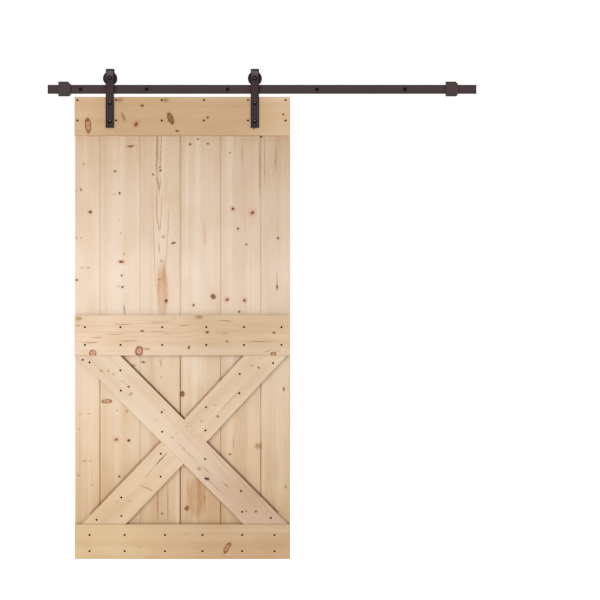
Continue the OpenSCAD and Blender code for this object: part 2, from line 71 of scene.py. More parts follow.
def shown(
    red: float, green: float, blue: float, gain: float = STAGE_GAIN
) -> tuple[float, float, float, float]:
    """Turns a colour as it should show under the studio light into a surface colour.

    Args:
        red: Red as it shows, 0 to 255.
        green: Green as it shows, 0 to 255.
        blue: Blue as it shows, 0 to 255.
        gain: How much the light brightens the surface.

    Returns:
        The linear surface colour, with an alpha of 1.
    """
    linear = []
    for channel in (red, green, blue):
        share = channel / 255
        linear.append((share / 12.92 if share <= 0.04045 else ((share + 0.055) / 1.055) ** 2.4) / gain)
    return (*linear, 1.0)


def box_of(name: str) -> tuple[Vector, Vector]:
    """The lowest and the highest corner of a CAD node."""
    low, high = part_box(name)
    return Vector(low), Vector(high)


def upper_left(name: str) -> Vector:
    """The upper left corner of a CAD node, on the wall plane."""
    low, high = box_of(name)
    return Vector((low.x, 0, high.z))


# ---------------------------------------------------------------- shader bench


class Wire:
    """A shader value that takes part in ordinary expressions."""

    def __init__(self, bench: "Bench", socket: bpy.types.NodeSocket) -> None:
        """Keeps the bench that adds nodes and the socket that the value leaves by."""
        self.bench = bench
        self.socket = socket

    def _sum(self, operation: str, *values: "Wire | float") -> "Wire":
        """Adds one Math node.

        Args:
            operation: The Math node's operation.
            values: Its inputs, in order.

        Returns:
            The node's result.
        """
        return self.bench.node("ShaderNodeMath", {"operation": operation}, dict(enumerate(values)))

    def __add__(self, other: "Wire | float") -> "Wire":
        """self + other."""
        return self._sum("ADD", self, other)

    def __radd__(self, other: float) -> "Wire":
        """other + self."""
        return self._sum("ADD", other, self)

    def __sub__(self, other: "Wire | float") -> "Wire":
        """self - other."""
        return self._sum("SUBTRACT", self, other)

    def __rsub__(self, other: float) -> "Wire":
        """other - self."""
        return self._sum("SUBTRACT", other, self)

    def __mul__(self, other: "Wire | float") -> "Wire":
        """self * other."""
        return self._sum("MULTIPLY", self, other)

    def __rmul__(self, other: float) -> "Wire":
        """other * self."""
        return self._sum("MULTIPLY", other, self)

    def __truediv__(self, other: "Wire | float") -> "Wire":
        """self / other."""
        return self._sum("DIVIDE", self, other)

    def __rtruediv__(self, other: float) -> "Wire":
        """other / self."""
        return self._sum("DIVIDE", other, self)

    def __abs__(self) -> "Wire":
        """The value without its sign."""
        return self._sum("ABSOLUTE", self)

    def least(self, other: "Wire") -> "Wire":
        """The lesser of two values."""
        return self._sum("MINIMUM", self, other)

    def saw(self) -> "Wire":
        """The value's fraction, a ramp that starts again at each whole number."""
        return self._sum("FRACT", self)

    def rise(self, start: float, end: float) -> "Wire":
        """A smooth step from 0 at start to 1 at end.

        Args:
            start: Where the step leaves 0.
            end: Where it reaches 1.

        Returns:
            The stepped value.
        """
        if start > end:
            return 1 - self.rise(end, start)
        return self.bench.node(
            "ShaderNodeMapRange",
            {"interpolation_type": "SMOOTHSTEP"},
            {"Value": self, "From Min": start, "From Max": end},
        )


class Bench:
    """Builds one material, node by node."""

    def __init__(self, name: str) -> None:
        """Starts an empty material of that name."""
        self.material = bpy.data.materials.new(name)
        self.material.use_nodes = True
        self.tree = self.material.node_tree
        self.tree.nodes.clear()

    def node(
        self,
        kind: str,
        settings: dict[str, object] | None = None,
        sockets: dict[int | str, object] | None = None,
        out: int | str = 0,
    ) -> Wire:
        """Adds a node of any type.

        Args:
            kind: The node's type.
            settings: Its own settings, set first. "stops" are a colour ramp's stops.
            sockets: What goes into its sockets, values or wires.
            out: The output that is handed back.

        Returns:
            The wire that leaves by that output.
        """
        node = self.tree.nodes.new(kind)
        for key, value in (settings or {}).items():
            if key == "stops":
                self._set_stops(node.color_ramp, value)
            else:
                setattr(node, key, value)
        for key, value in (sockets or {}).items():
            if isinstance(value, Wire):
                self.tree.links.new(value.socket, node.inputs[key])
            else:
                node.inputs[key].default_value = value
        return Wire(self, node.outputs[out]) if node.outputs else Wire(self, None)

    @staticmethod
    def _set_stops(ramp: bpy.types.ColorRamp, stops: "tuple[tuple[float, Colour], ...]") -> None:
        """Gives a colour ramp its stops, each a place and a colour."""
        while len(ramp.elements) < len(stops):
            ramp.elements.new(1.0)
        for element, (place, colour) in zip(ramp.elements, stops):
            element.position = place
            element.color = colour

    def coordinates(self, kind: str = "Object") -> Wire:
        """The object's own coordinates, or its normals."""
        return self.node("ShaderNodeTexCoord", out=kind)

    def placed(self, vector: Wire, centre: Vector, turn: float, size: tuple[float, float, float]) -> Wire:
        """Centres, turns and scales coordinates about Y.

        Args:
            vector: The coordinates.
            centre: The point that becomes the origin.
            turn: The turn about Y, in radians.
            size: The lengths that become 1 along each axis.

        Returns:
            The new coordinates.
        """
        return self.node(
            "ShaderNodeMapping",
            {"vector_type": "TEXTURE"},
            {"Vector": vector, "Location": centre, "Rotation": (0, turn, 0), "Scale": size},
        )

    def axis(self, vector: Wire, number: int) -> Wire:
        """One of a vector's three numbers."""
        return self.node("ShaderNodeSeparateXYZ", {}, {0: vector}, out=number)

    def stretched(self, vector: Wire, factors: tuple[float, float, float]) -> Wire:
        """Multiplies a vector, axis by axis."""
        return self.node("ShaderNodeVectorMath", {"operation": "MULTIPLY"}, {0: vector, 1: factors})

    def length(self, vector: Wire) -> Wire:
        """A vector's length."""
        return self.node("ShaderNodeVectorMath", {"operation": "LENGTH"}, {0: vector}, out="Value")

    def noise(self, vector: Wire, scale: float = 1.0, detail: float = 2.0) -> Wire:
        """Smooth noise from 0 to 1 at a scale in waves per metre."""
        return self.node("ShaderNodeTexNoise", {}, {"Vector": vector, "Scale": scale, "Detail": detail})

    def blend(self, below: object, above: object, share: "Wire | float") -> Wire:
        """Lays one colour over another by a share."""
        return self.node("ShaderNodeMix", {"data_type": "RGBA"}, {0: share, 6: below, 7: above}, out=2)

    def stain(self, colour: Wire, tint: Colour, share: "Wire | float") -> Wire:
        """Multiplies a colour by a tint, by a share."""
        settings = {"data_type": "RGBA", "blend_type": "MULTIPLY"}
        return self.node("ShaderNodeMix", settings, {0: share, 6: colour, 7: (*tint, 1.0)}, out=2)

    def finish(
        self,
        colour: Wire,
        roughness: Wire,
        height: Wire,
        depth: float,
        constants: dict[str, float],
    ) -> bpy.types.Material:
        """Closes the material with a shader, a bump and the output.

        Args:
            colour: The base colour.
            roughness: The roughness.
            height: The surface's relief, from 0 to 1.
            depth: How deep that relief is, in metres.
            constants: Values set on the shader's own sockets.

        Returns:
            The finished material.
        """
        bump = self.node("ShaderNodeBump", {}, {"Height": height, "Strength": 0.6, "Distance": depth})
        sockets = {"Base Color": colour, "Roughness": roughness, "Normal": bump, **constants}
        shader = self.node("ShaderNodeBsdfPrincipled", {}, sockets)
        self.node("ShaderNodeOutputMaterial", {}, {"Surface": shader})
        return self.material


# ---------------------------------------------------------------- pine


class MarkKind(Enum):
    """The kinds of natural mark in the wood."""

    DEAD_KNOT = "small dark knot"
    PINK_KNOT = "small knot in a pink halo"
    LIVE_KNOT = "broad oval knot with a dark rim"
    SMUDGE = "soft grey-brown spot"
    STREAK = "long reddish or tan streak"
    STAIN = "strong orange-brown stain"
    CRACK = "thin dark crack"
    GRAIN = "thin brown grain line"
    DARK_KNOT = "round knot, brown right through"


# The smallest knot that pushes the growth rings aside, in millimetres
FLOW_KNOT = 12
# How far past a board's edge a mark may lie and still show on it, in millimetres
MARK_MARGIN = 12
# Kinds that the growth rings run straight through
QUIET_KINDS = (MarkKind.SMUDGE, MarkKind.STREAK, MarkKind.STAIN, MarkKind.CRACK, MarkKind.GRAIN)


@dataclass(frozen=True)
class Mark:
    """One mark on the door, in millimetres from the door's upper left corner."""

    right: float
    down: float
    width: float = 11
    height: float = 11
    tilt: float = 0
    kind: MarkKind = MarkKind.DEAD_KNOT


@dataclass(frozen=True)
class Arches:
    """Nested pointed growth rings on the middle of a board, in millimetres from the door's corner."""

    right: float
    down: float
    width: float
    height: float
    spacing: float
    slope: float
    strength: float = 0.7


# The brown of the lines of painted shade along the boards' edges
SHADE_BROWN = (0.52, 0.38, 0.28)


@dataclass(frozen=True)
class PaintedShadingLine:
    """A thin line along one edge of a board, painted on what lies behind it: brown lines are painted shade
    along the edge, pale lines are painted light.
    """

    centre: Vector
    turn: float
    half: float
    start: float
    end: float
    reach: float = 0.013
    strength: float = 0.8
    tint: Colour = SHADE_BROWN


@dataclass(frozen=True)
class PineFinish:
    """Raw knotty pine on one board, its grain along the board's own length."""

    name: str
    centre: Vector
    turn: float
    length: float
    tones: tuple[tuple[float, Colour], ...]
    marks: tuple[Mark, ...]
    corner: Vector
    seed: float
    lines: tuple[PaintedShadingLine, ...] = ()
    arches: tuple[Arches, ...] = ()
    seams: tuple[tuple[float, float], ...] = ()
    rings: float = 105.0
    ring_show: float = 0.30
    band_show: float = 0.40

    def material(self) -> bpy.types.Material:
        """Builds the board's material.

        Returns:
            The material.
        """
        bench = Bench(self.name)
        place = bench.coordinates()
        board = bench.placed(place, self.centre, self.turn, (1, 1, 1))
        across, depth, along = (bench.axis(board, number) for number in range(3))
        shift = Vector((self.seed * 3.7, self.seed * 1.3, self.seed * 7.1))
        seeded = bench.node("ShaderNodeVectorMath", {"operation": "ADD"}, {0: board, 1: shift})
        spots = self._spot_place(bench, place)
        fields, flow = self._mark_fields(bench, spots)

        # Growth rings: even lines across the board, warped along it and led round the knots
        sway = bench.noise(bench.stretched(seeded, (4.0, 4.0, 0.55)), 1.0, 1.5) - 0.5
        ripple = bench.noise(bench.stretched(seeded, (26.0, 26.0, 3.0)), 1.0, 1.0) - 0.5
        phase = (across + sway * 0.20 + ripple * 0.007) * self.rings + depth * 40 + flow * 3.2
        ring = phase.saw()
        late = ring.rise(0.30, 0.88) * ring.rise(1.0, 0.90)
        patch = bench.noise(bench.stretched(seeded, (7.0, 7.0, 0.8)), 1.0, 1.0).rise(0.35, 0.62)
        late = late * (0.25 + 0.75 * patch)
        bands = bench.noise(bench.stretched(seeded, (21.0, 21.0, 0.40)), 1.0, 3.0)
        fibres = bench.noise(bench.stretched(seeded, (620.0, 620.0, 14.0)), 1.0, 2.0)
        fleck = bench.noise(bench.stretched(seeded, (150.0, 150.0, 5.0)), 1.0, 2.0).rise(0.60, 0.78)

        share = along / self.length + 0.5
        stops = tuple((where, shown(*tone)) for where, tone in self.tones)
        colour = bench.node("ShaderNodeValToRGB", {"stops": stops}, {0: share})
        cloud = bench.noise(bench.stretched(seeded, (9.0, 9.0, 4.0)), 1.0, 2.0).rise(0.42, 0.68)
        colour = bench.stain(colour, (0.95, 0.92, 0.87), cloud)
        colour = bench.stain(colour, (0.86, 0.78, 0.68), bands.rise(0.50, 0.66) * self.band_show)
        colour = bench.blend(colour, shown(246, 236, 224), bands.rise(0.48, 0.32) * self.band_show * 0.45)
        colour = bench.stain(colour, (0.80, 0.65, 0.49), late * self.ring_show)
        colour = bench.stain(colour, (0.82, 0.73, 0.62), fibres.rise(0.45, 0.75) * 0.26 + fleck * 0.20)
        colour = self._paint_arches(bench, colour, spots)
        colour, cores = self._paint_marks(bench, colour, fields, spots, bands)
        front = depth.rise(0.002, -0.002)
        # Painted shade and painted light along the edges of the rails and braces
        colour = self._paint_shading_lines(bench, colour, place, front)
        colour = self._paint_seams(bench, colour, place, front)
        ends = self._end_grain(bench)
        arcs = (bench.length(bench.stretched(board, (1.0, 1.6, 0.0))) * 160 + sway * 8).saw()
        colour = bench.stain(colour, (0.80, 0.66, 0.50), ends * (0.55 + 0.45 * arcs.rise(0.5, 0.9)))
        relief = 0.55 + fibres * 0.35 - late * 0.25 - cores * 0.35 - fleck * 0.1
        roughness = 0.66 + fibres * 0.12 - late * 0.06 - cores * 0.15
        return bench.finish(colour, roughness, relief, 0.00035, {"Specular IOR Level": 0.25})

    def _spot_place(self, bench: Bench, place: Wire) -> Wire:
        """Flattens coordinates on the board's face and roughens them, so that no knot is a plain oval."""
        noise = {"Vector": place, "Scale": 80.0, "Detail": 5.0}
        wobble = bench.node("ShaderNodeTexNoise", {}, noise, out="Color")
        halves = (0.5, 0.5, 0.5)
        centred = bench.node("ShaderNodeVectorMath", {"operation": "SUBTRACT"}, {0: wobble, 1: halves})
        small = bench.stretched(centred, (0.011, 0.0, 0.013))
        moved = bench.node("ShaderNodeVectorMath", {"operation": "ADD"}, {0: place, 1: small})
        return bench.stretched(moved, (1.0, 0.0, 1.0))

    def _mark_fields(self, bench: Bench, spots: Wire) -> "tuple[dict[MarkKind, Wire], Wire | float]":
        """Measures how far each point is from the marks of each kind, in mark radii.

        Args:
            bench: The material's bench.
            spots: The flattened coordinates.

        Returns:
            The nearest distance for each kind, and how strongly knots push the rings aside.
        """
        fields: dict[MarkKind, Wire] = {}
        flow: Wire | None = None
        for mark in self.marks:
            centre = self.corner + Vector((mark.right, 0, -mark.down)) * MM
            size = (mark.width / 2 * MM, 1.0, mark.height / 2 * MM)
            local = bench.placed(spots, centre, math.radians(mark.tilt), size)
            distance = bench.length(local)
            fields[mark.kind] = fields[mark.kind].least(distance) if mark.kind in fields else distance
            if mark.kind in QUIET_KINDS or max(mark.width, mark.height) < FLOW_KNOT:
                continue
            reach = max(mark.width, 14) / 2 * MM
            wide = bench.placed(spots, centre, self.turn, (reach * 1.2, 1.0, reach * 3.2))
            away = bench.length(wide)
            flow = away if flow is None else flow.least(away)
        if flow is None:
            return fields, 0.0
        return fields, 1 / (1 + flow * flow * 0.5)

    @staticmethod
    def _root(value: Wire) -> Wire:
        """A value's square root."""
        return value.bench.node("ShaderNodeMath", {"operation": "SQRT"}, {0: value})

    def _paint_arches(self, bench: Bench, colour: Wire, spots: Wire) -> Wire:
        """Paints nested pointed growth rings.

        Args:
            bench: The material's bench.
            colour: The wood so far.
            spots: The flattened coordinates.

        Returns:
            The painted colour.
        """
        for arch in self.arches:
            centre = self.corner + Vector((arch.right, 0, -arch.down)) * MM
            local = bench.placed(spots, centre, 0.0, (1, 1, 1))
            aside, above = abs(bench.axis(local, 0)), bench.axis(local, 2)
            blunt = self._root(aside * aside + 0.0000025)
            ring = ((blunt * arch.slope - above) / (arch.spacing * MM)).saw()
            size = (arch.width / 2 * MM, 1.0, arch.height / 2 * MM)
            window = bench.length(bench.placed(spots, centre, 0.0, size)).rise(1.0, 0.6)
            colour = bench.stain(colour, (0.95, 0.88, 0.80), window * arch.strength)
            lines = ring.rise(0.0, 0.20) * ring.rise(0.62, 0.30)
            colour = bench.stain(colour, (0.66, 0.48, 0.34), lines * window * arch.strength)
        return colour

    def _paint_marks(
        self, bench: Bench, colour: Wire, fields: "dict[MarkKind, Wire]", spots: Wire, bands: Wire
    ) -> "tuple[Wire, Wire | float]":
        """Paints the marks.

        Args:
            bench: The material's bench.
            colour: The wood so far.
            fields: The distances from the marks of each kind.
            spots: The flattened coordinates.
            bands: Noise drawn out along the grain.

        Returns:
            The painted colour, and where knots lie, from 0 to 1.
        """
        cores: Wire | float = 0.0
        uneven = 0.75 + 0.45 * bands.rise(0.38, 0.62)
        patchy = 0.30 + 0.70 * bench.noise(spots, 150.0, 1.0).rise(0.34, 0.58)
        if MarkKind.STREAK in fields:
            away = fields[MarkKind.STREAK]
            colour = bench.stain(colour, (0.85, 0.69, 0.53), away.rise(1.1, 0.2) * uneven * 0.65)
        if MarkKind.STAIN in fields:
            away = fields[MarkKind.STAIN]
            colour = bench.stain(colour, (0.80, 0.62, 0.46), away.rise(1.10, 0.55) * uneven * 0.80)
        if MarkKind.SMUDGE in fields:
            away = fields[MarkKind.SMUDGE]
            colour = bench.stain(colour, (0.60, 0.51, 0.36), away.rise(1.25, 0.25) * 0.92)
        if MarkKind.GRAIN in fields:
            away = fields[MarkKind.GRAIN]
            colour = bench.stain(colour, (0.62, 0.48, 0.35), away.rise(1.2, 0.4) * 0.90)
        if MarkKind.CRACK in fields:
            away = fields[MarkKind.CRACK]
            colour = bench.blend(colour, shown(92, 62, 42), away.rise(1.2, 0.3) * 0.85)
            cores = cores + away.rise(1.0, 0.4)
        if MarkKind.PINK_KNOT in fields:
            away = fields[MarkKind.PINK_KNOT]
            colour = bench.stain(colour, (0.92, 0.66, 0.58), away.rise(3.6, 1.0) * 0.75)
            colour = bench.blend(colour, shown(88, 44, 34), away.rise(1.35, 0.65) * 0.92)
            cores = cores + away.rise(1.2, 0.6)
        if MarkKind.DEAD_KNOT in fields:
            away = fields[MarkKind.DEAD_KNOT]
            colour = bench.stain(colour, (0.86, 0.70, 0.52), away.rise(2.4, 1.0) * 0.8)
            colour = bench.blend(colour, shown(72, 42, 24), away.rise(1.35, 0.65) * 0.92)
            cores = cores + away.rise(1.2, 0.6)
        if MarkKind.LIVE_KNOT in fields:
            away = fields[MarkKind.LIVE_KNOT]
            rings = (away * 3.5).saw().rise(0.35, 0.95)
            colour = bench.stain(colour, (0.90, 0.72, 0.57), away.rise(1.6, 0.9) * 0.8)
            fill = away.rise(1.05, 0.8) * (0.45 + 0.55 * rings)
            colour = bench.stain(colour, (0.80, 0.58, 0.45), fill * 0.75)
            rim = away.rise(0.55, 0.80) * away.rise(1.20, 0.96) * patchy
            colour = bench.blend(colour, shown(96, 46, 28), rim * 0.95)
            colour = bench.blend(colour, shown(126, 72, 50), away.rise(0.32, 0.0) * 0.55)
            cores = cores + away.rise(1.0, 0.8) * 0.5
        if MarkKind.DARK_KNOT in fields:
            away = fields[MarkKind.DARK_KNOT]
            colour = bench.stain(colour, (0.88, 0.72, 0.55), away.rise(1.9, 1.0) * 0.8)
            colour = bench.blend(colour, shown(148, 98, 58), away.rise(1.12, 0.92) * 0.88)
            rim = away.rise(0.58, 0.82) * away.rise(1.16, 0.98) * patchy
            colour = bench.blend(colour, shown(76, 40, 20), rim * 0.95)
            colour = bench.blend(colour, shown(84, 50, 26), away.rise(0.42, 0.10) * 0.7)
            cores = cores + away.rise(1.0, 0.8) * 0.5
        return colour, cores

    def _paint_seams(self, bench: Bench, colour: Wire, place: Wire, front: Wire) -> Wire:
        """Paints the uneven brown lines along the joints with the neighbouring planks."""
        if not self.seams:
            return colour
        x, z = bench.axis(place, 0), bench.axis(place, 2)
        low = (z - self.corner.z).rise(-1.10, -1.30)
        patchy = bench.noise(bench.stretched(place, (6.0, 0.0, 2.2)), 1.0, 2.0).rise(0.38, 0.60)
        for seam, upper in self.seams:
            near = abs(x - seam).rise(0.0055, 0.0018) * front
            share = upper * (0.4 + 0.6 * patchy) + low * (0.10 + 0.55 * patchy)
            colour = bench.stain(colour, (0.58, 0.43, 0.30), near * share)
        return colour

    def _paint_shading_lines(self, bench: Bench, colour: Wire, place: Wire, front: Wire) -> Wire:
        """Paints the thin lines of painted shade and painted light along the edges of the boards on top."""
        for line in self.lines:
            local = bench.placed(place, line.centre, line.turn, (1, 1, 1))
            away, along = -1 * bench.axis(local, 0) - line.half, bench.axis(local, 2)
            mask = away.rise(-0.006, 0.0) * away.rise(line.reach, line.reach * 0.3)
            mask = mask * along.rise(line.start - 0.008, line.start) * along.rise(line.end + 0.008, line.end)
            colour = bench.stain(colour, line.tint, mask * front * line.strength)
        return colour

    def _end_grain(self, bench: Bench) -> Wire:
        """Finds the faces that cut across the grain, as 1 there and 0 elsewhere."""
        facing = bench.placed(bench.coordinates("Normal"), Vector((0, 0, 0)), self.turn, (1, 1, 1))
        return abs(bench.axis(facing, 2)).rise(0.80, 0.95)


# ---------------------------------------------------------------- metal


@dataclass(frozen=True)
class EdgeShade:
    """Painted shade: a darker border near two opposite edges of a bar, along X or Z."""

    axis: int
    centre: float
    half: float
    width: float


@dataclass(frozen=True)
class CoatFinish:
    """A baked powder coat on steel, with a fine orange peel and dusty variation, and any painted shade,
    painted light and painted highlights that it is given.
    """

    name: str
    colour: Colour
    edge_shade_colour: Colour
    roughness: float = 0.46
    specular: float = 0.10
    shades: tuple[EdgeShade, ...] = ()
    shading_ramp: tuple[tuple[float, Colour], ...] = ()
    low: float = 0.0
    high: float = 1.0
    glints: tuple[Vector, ...] = ()
    glint_reach: float = 0.004
    glint_colour: Colour = (205, 188, 192)

    def material(self) -> bpy.types.Material:
        """Builds the coat's material.

        Returns:
            The material.
        """
        bench = Bench(self.name)
        place = bench.coordinates()
        peel = bench.noise(place, 1400.0, 2.0)
        dust = bench.noise(place, 34.0, 3.0)
        grit = bench.noise(place, 420.0, 2.0).rise(0.58, 0.75)
        colour: object = shown(*self.colour)
        # Painted light and shade: a colour ramp up the part's height
        if self.shading_ramp:
            stops = tuple((where, shown(*tone)) for where, tone in self.shading_ramp)
            share = (bench.axis(place, 2) - self.low) / (self.high - self.low)
            colour = bench.node("ShaderNodeValToRGB", {"stops": stops}, {0: share})
        colour = bench.blend(colour, shown(*(c * 1.22 for c in self.colour)), dust.rise(0.45, 0.75) * 0.30)
        # Painted shade along the edges
        for shade in self.shades:
            away = abs(bench.axis(place, shade.axis) - shade.centre)
            mask = away.rise(shade.half - shade.width, shade.half - shade.width * 0.4)
            colour = bench.blend(colour, shown(*self.edge_shade_colour), mask * 0.85)
        colour = bench.blend(colour, shown(*(c * 0.7 for c in self.colour)), grit * 0.35)
        # Painted highlights: pale round spots where light glints on a head
        for spot in self.glints:
            about = bench.stretched(bench.placed(place, spot, 0.0, (1, 1, 1)), (1.0, 0.0, 1.0))
            glint_mask = bench.length(about).rise(self.glint_reach, self.glint_reach * 0.7)
            colour = bench.blend(colour, shown(*self.glint_colour), glint_mask * 0.85)
        roughness = self.roughness + dust * 0.10 + grit * 0.06
        return bench.finish(
            colour, roughness, peel * 0.7 + grit * 0.3, 0.00006, {"Specular IOR Level": self.specular}
        )


@dataclass(frozen=True)
class BareMetalFinish:
    """Turned bare metal, with fine rings of tool marks about an axle along Y."""

    name: str
    colour: Colour
    roughness: float
    axle: Vector

    def material(self) -> bpy.types.Material:
        """Builds the metal's material.

        Returns:
            The material.
        """
        bench = Bench(self.name)
        place = bench.coordinates()
        about = bench.placed(place, self.axle, 0.0, (1, 1, 1))
        radius = bench.length(bench.stretched(about, (1.0, 0.0, 1.0)))
        smear = bench.noise(place, 90.0, 3.0)
        turned = (radius * 2600 + smear * 2).saw().rise(0.2, 0.9)
        dull = shown(*(c * 0.72 for c in self.colour), gain=1.0)
        colour = bench.blend(shown(*self.colour, gain=1.0), dull, smear * 0.5 + turned * 0.2)
        roughness = self.roughness + smear * 0.12 + turned * 0.06
        return bench.finish(colour, roughness, turned * 0.6 + smear * 0.4, 0.00004, {"Metallic": 1.0})


# ---------------------------------------------------------------- pieces


def dress(names: list[str], material: bpy.types.Material) -> None:
    """Gives a material to the CAD nodes of those names.

    Args:
        names: The nodes.
        material: The material that each slot takes.
    """
    for name in names:
        node = frame["nodes"][name]
        for slot in node.material_slots:
            slot.material = material
        LOG.info("%s wears %s", name, material.name)


def stand(
    name: str, shape: bmesh.types.BMesh, body: str, material: bpy.types.Material
) -> bpy.types.Object:
    """Turns a finished shape into a piece that rides on a body.

    Args:
        name: The piece's name.
        shape: The shape, in the row frame. It is freed.
        body: The body that it rides on.
        material: Its material.

    Returns:
        The new object.
    """
    bmesh.ops.recalc_face_normals(shape, faces=shape.faces)
    mesh = bpy.data.meshes.new(name)
    shape.to_mesh(mesh)
    shape.free()
    mesh.materials.append(material)
    mesh.shade_smooth()
    piece = bpy.data.objects.new(name, mesh)
    bpy.context.scene.collection.objects.link(piece)
    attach(piece, body)
    LOG.info("%s: %d faces", name, len(mesh.polygons))
    return piece


@dataclass
class Board:
    """Where one board lies and how it is toned."""

    node: str
    turn: float
    tones: tuple[Colour, ...]
    stops: tuple[float, ...]
    seed: float
    ring_show: float = 0.30
    band_show: float = 0.40


PLANK_COUNT = 6
# Painted light falloff along the planks, from foot to top: darker at the foot and the top, lighter in the
# middle
PLANK_STOPS = (0.10, 0.28, 0.62, 0.90)
PLANK_TONES = ((210, 180, 145), (226, 200, 170), (235, 214, 194), (210, 184, 156))
# Painted light falloff across the door: how light the leftmost plank is, and how much of that each plank to
# the right loses
PLANK_LIGHT = 1.03
PLANK_FALLOFF = 0.012


